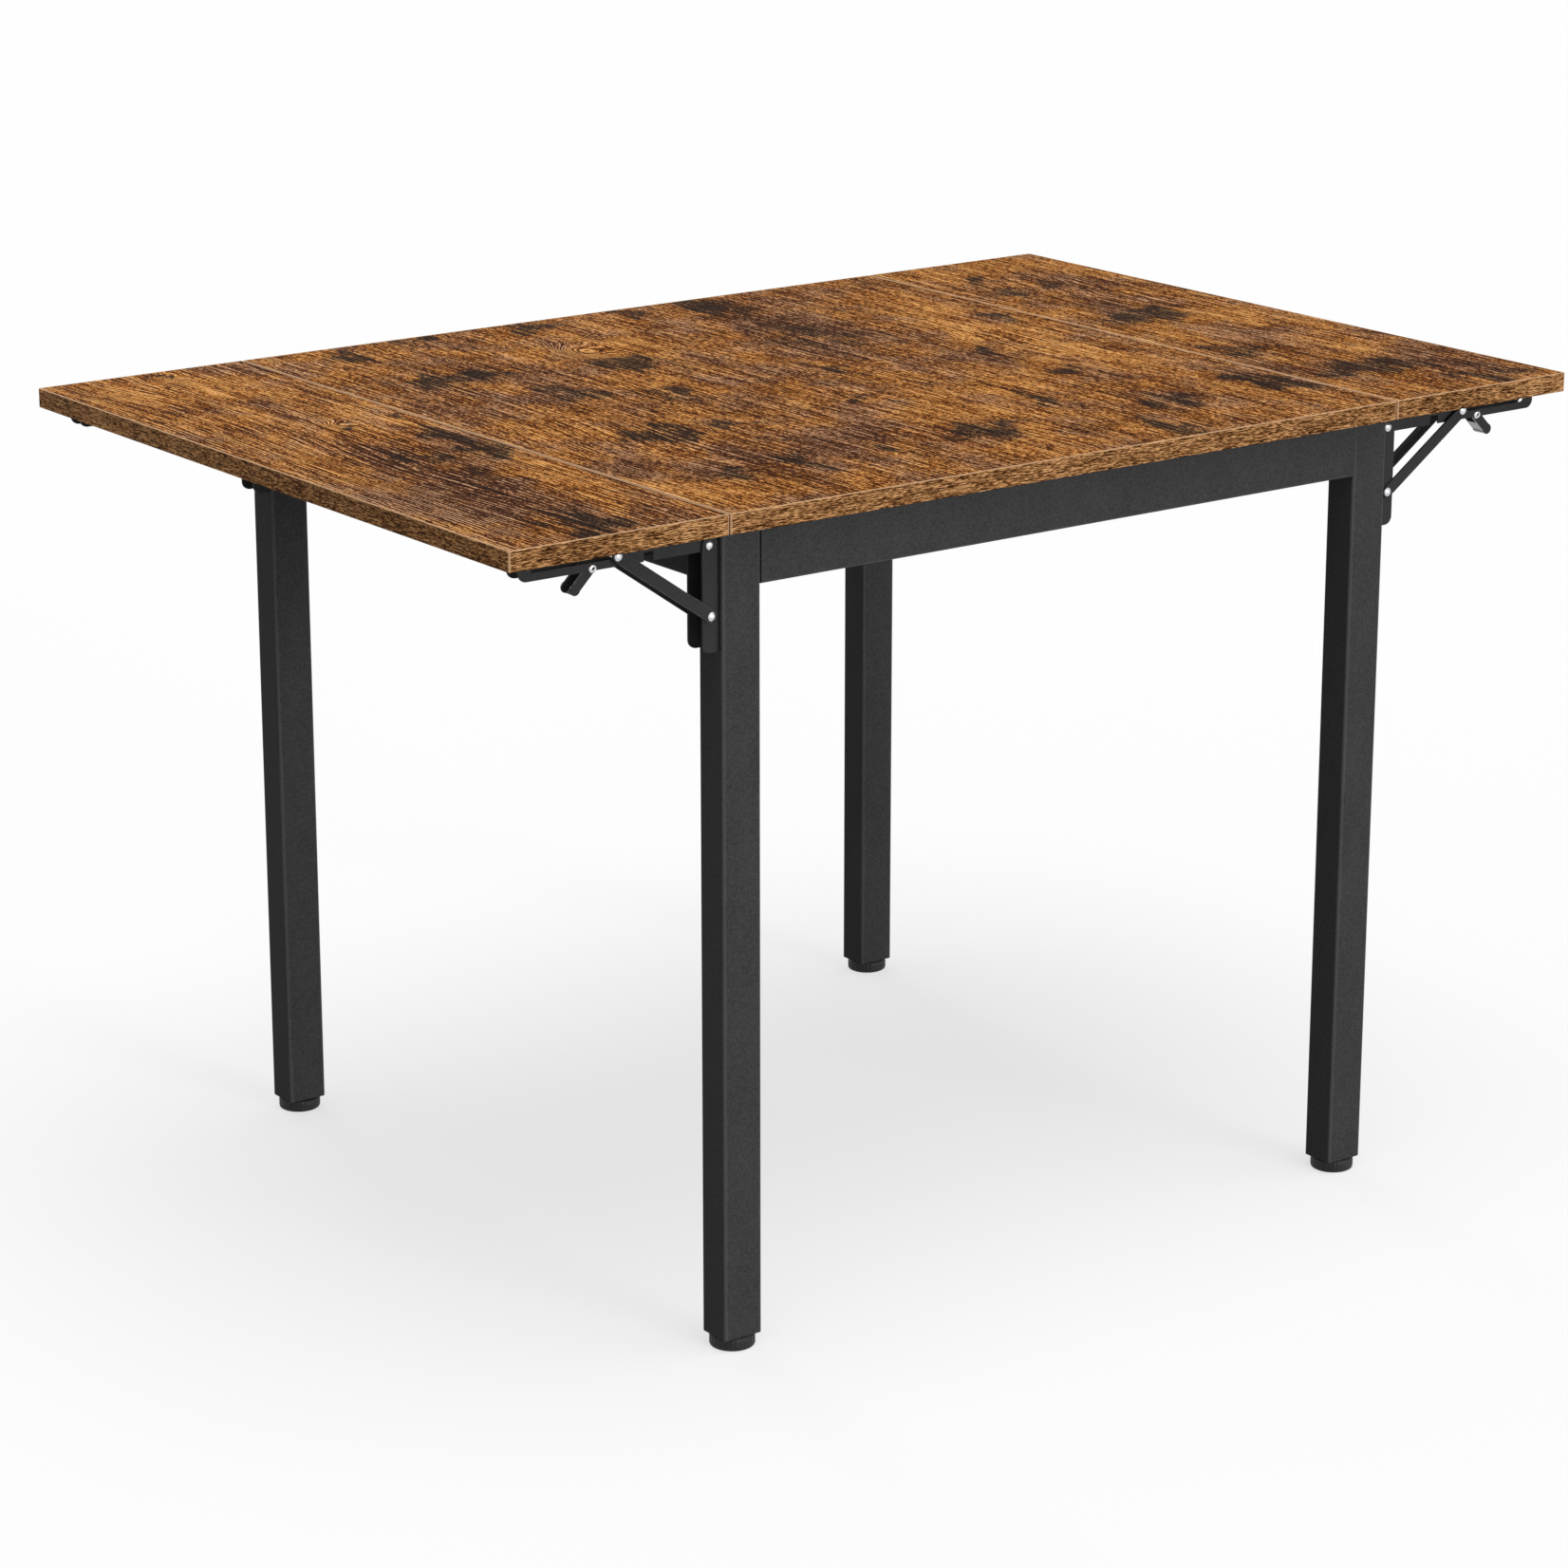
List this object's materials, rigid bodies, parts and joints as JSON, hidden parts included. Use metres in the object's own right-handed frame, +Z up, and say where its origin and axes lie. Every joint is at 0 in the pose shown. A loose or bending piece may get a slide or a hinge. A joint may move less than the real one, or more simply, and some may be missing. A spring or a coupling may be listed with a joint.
{
  "type": "folding dining table",
  "caption": "Rectangular drop-leaf dining table: wood-look board top with a fold-down leaf at each end on locking steel brackets, black steel legs and rails, screw-in feet.",
  "frame": {"origin": "on the floor, at the middle of the table's footprint", "axes": "+X along the table's length from the left leaf to the right leaf, +Y from the near long side to the far one, +Z up"},
  "size_m": [1.2, 0.8, 0.76],
  "materials": {
    "board": "satin",
    "edge_band": "satin",
    "frame_steel": "fine texture powder coat",
    "bracket_steel": "smooth black coat",
    "zinc_steel": "bright zinc",
    "foot_plastic": "moulded"
  },
  "bodies": {
    "frame": {"centre_panel": "board", "centre_edge_bands": "edge_band", "front_apron": "frame_steel", "back_apron": "frame_steel", "left_end_rail": "frame_steel", "right_end_rail": "frame_steel", "rail_stubs": "frame_steel", "rail_bolts": "zinc_steel", "panel_tabs": "frame_steel", "panel_screws": "zinc_steel", "leg_plugs": "foot_plastic", "wall_channel_screws": "zinc_steel", "hinge_rivets": "zinc_steel", "strut_rivets": "zinc_steel", "front_left_leg": "frame_steel", "front_right_leg": "frame_steel", "back_left_leg": "frame_steel", "back_right_leg": "frame_steel", "left_front_wall_channel": "bracket_steel", "left_back_wall_channel": "bracket_steel", "right_front_wall_channel": "bracket_steel", "right_back_wall_channel": "bracket_steel"},
    "left_leaf": {"left_leaf_panel": "board", "left_leaf_edge_bands": "edge_band", "left_arm_screws": "zinc_steel", "left_lever_rivets": "zinc_steel", "left_front_arm": "bracket_steel", "left_back_arm": "bracket_steel"},
    "left_front_strut": {"left_front_strut": "bracket_steel", "left_front_pin_caps": "zinc_steel"},
    "left_front_pin": {"left_front_slide_pin": "zinc_steel"},
    "left_front_release": {"left_front_lever": "bracket_steel"},
    "left_back_strut": {"left_back_strut": "bracket_steel", "left_back_pin_caps": "zinc_steel"},
    "left_back_pin": {"left_back_slide_pin": "zinc_steel"},
    "left_back_release": {"left_back_lever": "bracket_steel"},
    "right_leaf": {"right_leaf_panel": "board", "right_leaf_edge_bands": "edge_band", "right_arm_screws": "zinc_steel", "right_lever_rivets": "zinc_steel", "right_front_arm": "bracket_steel", "right_back_arm": "bracket_steel"},
    "right_front_strut": {"right_front_strut": "bracket_steel", "right_front_pin_caps": "zinc_steel"},
    "right_front_pin": {"right_front_slide_pin": "zinc_steel"},
    "right_front_release": {"right_front_lever": "bracket_steel"},
    "right_back_strut": {"right_back_strut": "bracket_steel", "right_back_pin_caps": "zinc_steel"},
    "right_back_pin": {"right_back_slide_pin": "zinc_steel"},
    "right_back_release": {"right_back_lever": "bracket_steel"},
    "front_left_leveller": {"front_left_foot": "foot_plastic"},
    "front_right_leveller": {"front_right_foot": "foot_plastic"},
    "back_left_leveller": {"back_left_foot": "foot_plastic"},
    "back_right_leveller": {"back_right_foot": "foot_plastic"}
  },
  "joints": [
    {"name": "left_leaf_fold", "type": "hinge", "parent": "frame", "child": "left_leaf", "pos_m": [-0.388, 0, 0.731], "axis": [0, -1, 0], "range_deg": [0, 90]},
    {"name": "left_front_strut_swing", "type": "hinge", "parent": "frame", "child": "left_front_strut", "pos_m": [-0.388, -0.3705, 0.67], "axis": [0, -1, 0], "range_deg": [0, 122.64]},
    {"name": "left_front_pin_slide", "type": "slide", "parent": "left_leaf", "child": "left_front_pin", "axis": [-1, 0, 0], "range_m": [0, 0.0815]},
    {"name": "left_front_lever_press", "type": "hinge", "parent": "left_leaf", "child": "left_front_release", "pos_m": [-0.505, -0.3705, 0.728], "axis": [0, 1, 0], "range_deg": [0, 50.02]},
    {"name": "left_back_strut_swing", "type": "hinge", "parent": "frame", "child": "left_back_strut", "pos_m": [-0.388, 0.3705, 0.67], "axis": [0, -1, 0], "range_deg": [0, 122.64]},
    {"name": "left_back_pin_slide", "type": "slide", "parent": "left_leaf", "child": "left_back_pin", "axis": [-1, 0, 0], "range_m": [0, 0.0815]},
    {"name": "left_back_lever_press", "type": "hinge", "parent": "left_leaf", "child": "left_back_release", "pos_m": [-0.505, 0.3705, 0.728], "axis": [0, 1, 0], "range_deg": [0, 50.02]},
    {"name": "right_leaf_fold", "type": "hinge", "parent": "frame", "child": "right_leaf", "pos_m": [0.388, 0, 0.731], "axis": [0, 1, 0], "range_deg": [0, 90]},
    {"name": "right_front_strut_swing", "type": "hinge", "parent": "frame", "child": "right_front_strut", "pos_m": [0.388, -0.3705, 0.67], "axis": [0, 1, 0], "range_deg": [0, 122.64]},
    {"name": "right_front_pin_slide", "type": "slide", "parent": "right_leaf", "child": "right_front_pin", "axis": [1, 0, 0], "range_m": [0, 0.0815]},
    {"name": "right_front_lever_press", "type": "hinge", "parent": "right_leaf", "child": "right_front_release", "pos_m": [0.505, -0.3705, 0.728], "axis": [0, -1, 0], "range_deg": [0, 50.02]},
    {"name": "right_back_strut_swing", "type": "hinge", "parent": "frame", "child": "right_back_strut", "pos_m": [0.388, 0.3705, 0.67], "axis": [0, 1, 0], "range_deg": [0, 122.64]},
    {"name": "right_back_pin_slide", "type": "slide", "parent": "right_leaf", "child": "right_back_pin", "axis": [1, 0, 0], "range_m": [0, 0.0815]},
    {"name": "right_back_lever_press", "type": "hinge", "parent": "right_leaf", "child": "right_back_release", "pos_m": [0.505, 0.3705, 0.728], "axis": [0, -1, 0], "range_deg": [0, 50.02]},
    {"name": "front_left_foot_screw", "type": "slide", "parent": "frame", "child": "front_left_leveller", "axis": [0, 0, -1], "range_m": [0, 0.008]},
    {"name": "front_right_foot_screw", "type": "slide", "parent": "frame", "child": "front_right_leveller", "axis": [0, 0, -1], "range_m": [0, 0.008]},
    {"name": "back_left_foot_screw", "type": "slide", "parent": "frame", "child": "back_left_leveller", "axis": [0, 0, -1], "range_m": [0, 0.008]},
    {"name": "back_right_foot_screw", "type": "slide", "parent": "frame", "child": "back_right_leveller", "axis": [0, 0, -1], "range_m": [0, 0.008]}
  ],
  "couplings": [
    {"joint": "left_front_strut_swing", "follows": "left_leaf_fold", "ratio": 1.3624},
    {"joint": "left_front_pin_slide", "follows": "left_leaf_fold", "m_per_rad": 0.051873},
    {"joint": "left_front_lever_press", "follows": "left_leaf_fold", "ratio": 0.55556},
    {"joint": "left_back_strut_swing", "follows": "left_leaf_fold", "ratio": 1.3624},
    {"joint": "left_back_pin_slide", "follows": "left_leaf_fold", "m_per_rad": 0.051873},
    {"joint": "left_back_lever_press", "follows": "left_leaf_fold", "ratio": 0.55556},
    {"joint": "right_front_strut_swing", "follows": "right_leaf_fold", "ratio": 1.3624},
    {"joint": "right_front_pin_slide", "follows": "right_leaf_fold", "m_per_rad": 0.051873},
    {"joint": "right_front_lever_press", "follows": "right_leaf_fold", "ratio": 0.55556},
    {"joint": "right_back_strut_swing", "follows": "right_leaf_fold", "ratio": 1.3624},
    {"joint": "right_back_pin_slide", "follows": "right_leaf_fold", "m_per_rad": 0.051873},
    {"joint": "right_back_lever_press", "follows": "right_leaf_fold", "ratio": 0.55556}
  ]
}
